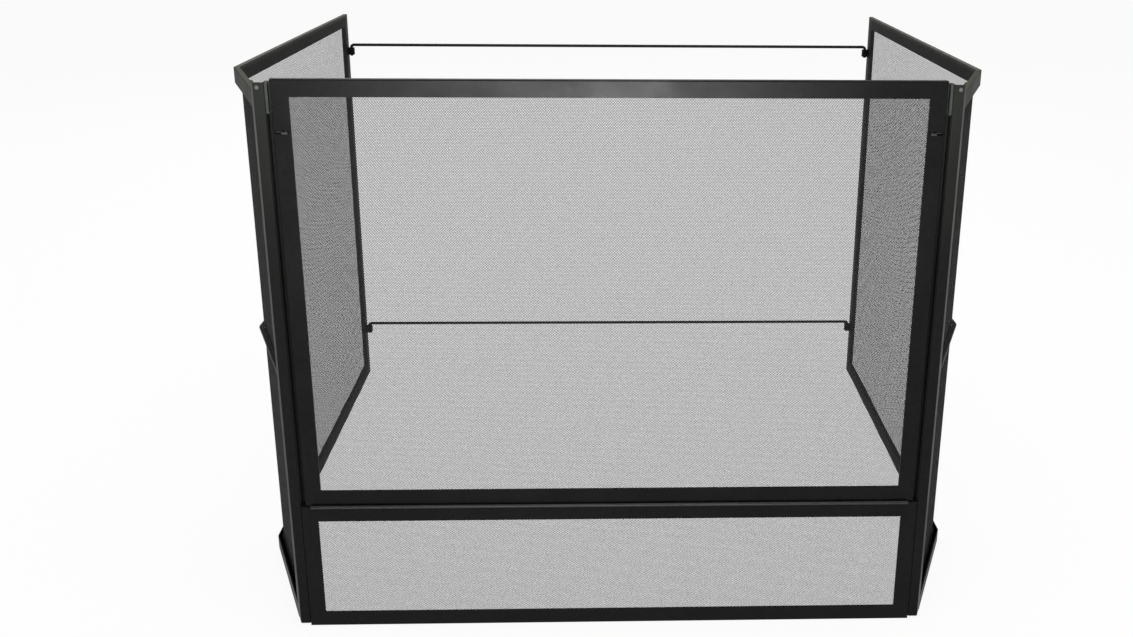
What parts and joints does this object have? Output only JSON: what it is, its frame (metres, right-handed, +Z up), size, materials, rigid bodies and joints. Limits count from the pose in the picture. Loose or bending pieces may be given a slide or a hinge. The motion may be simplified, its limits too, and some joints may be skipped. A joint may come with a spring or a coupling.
{
  "type": "fireplace screen",
  "caption": "Free-standing three-sided hearth guard of black steel mesh with a drop-down mesh front door, corner-swelling side wings and tie rods across the open back.",
  "frame": {"origin": "on the floor, under the middle of the guard's bounding box", "axes": "+X to the right as seen from the room, +Y from the room towards the fire, +Z up"},
  "size_m": [0.944, 0.7948, 0.7],
  "materials": {
    "frame_steel": "satin black powder coat",
    "mesh_steel": "matt black coated expanded mesh",
    "rod_steel": "satin black coated round bar",
    "hinge_steel": "satin black, worn lighter along the knuckles",
    "pin_steel": "bare drawn wire",
    "bolt_steel": "satin black, rubbed at the tab"
  },
  "bodies": {
    "frame": {"corner_mesh_left": "mesh_steel", "corner_mesh_right": "mesh_steel", "corner_rail_bottom_left": "frame_steel", "corner_rail_bottom_right": "frame_steel", "corner_rail_top_left": "frame_steel", "corner_rail_top_right": "frame_steel", "corner_rod_left": "rod_steel", "corner_rod_right": "rod_steel", "hinge_leaf_lower": "hinge_steel", "hinge_pin": "pin_steel", "lower_mesh": "mesh_steel", "lower_rail_bottom": "frame_steel", "lower_rail_top": "frame_steel", "lower_stile_left": "frame_steel", "lower_stile_right": "frame_steel", "post_front_left": "frame_steel", "post_front_right": "frame_steel", "post_rear_left": "frame_steel", "post_rear_right": "frame_steel", "rod_eye_low_left": "frame_steel", "rod_eye_low_right": "frame_steel", "rod_eye_top_left": "frame_steel", "rod_eye_top_right": "frame_steel", "stop_lug_left": "frame_steel", "stop_lug_right": "frame_steel", "wing_mesh_left": "mesh_steel", "wing_mesh_right": "mesh_steel", "wing_rail_bottom_left": "frame_steel", "wing_rail_bottom_right": "frame_steel", "wing_rail_top_left": "frame_steel", "wing_rail_top_right": "frame_steel"},
    "door": {"bolt_guide_left": "frame_steel", "bolt_guide_right": "frame_steel", "door_mesh": "mesh_steel", "door_rail_bottom": "frame_steel", "door_rail_top": "frame_steel", "door_stile_left": "frame_steel", "door_stile_right": "frame_steel", "hinge_leaf_upper": "hinge_steel"},
    "bolt_left": {"slide_bolt_left": "bolt_steel"},
    "bolt_right": {"slide_bolt_right": "bolt_steel"},
    "tie_rod_top": {"tie_rod_top": "rod_steel"},
    "tie_rod_low": {"tie_rod_low": "rod_steel"}
  },
  "joints": [
    {"name": "door_hinge", "type": "hinge", "parent": "frame", "child": "door", "pos_m": [0, -0.39517, 0.17115], "axis": [1, 0, 0], "range_deg": [0, 105]},
    {"name": "bolt_left_slide", "type": "slide", "parent": "door", "child": "bolt_left", "axis": [-1, 0, 0], "range_m": [0, 0.0095]},
    {"name": "bolt_right_slide", "type": "slide", "parent": "door", "child": "bolt_right", "axis": [1, 0, 0], "range_m": [0, 0.0095]},
    {"name": "tie_rod_top_lift", "type": "slide", "parent": "frame", "child": "tie_rod_top", "axis": [0, 0, 1], "range_m": [0, 0.025]},
    {"name": "tie_rod_low_lift", "type": "slide", "parent": "frame", "child": "tie_rod_low", "axis": [0, 0, 1], "range_m": [0, 0.025]}
  ]
}
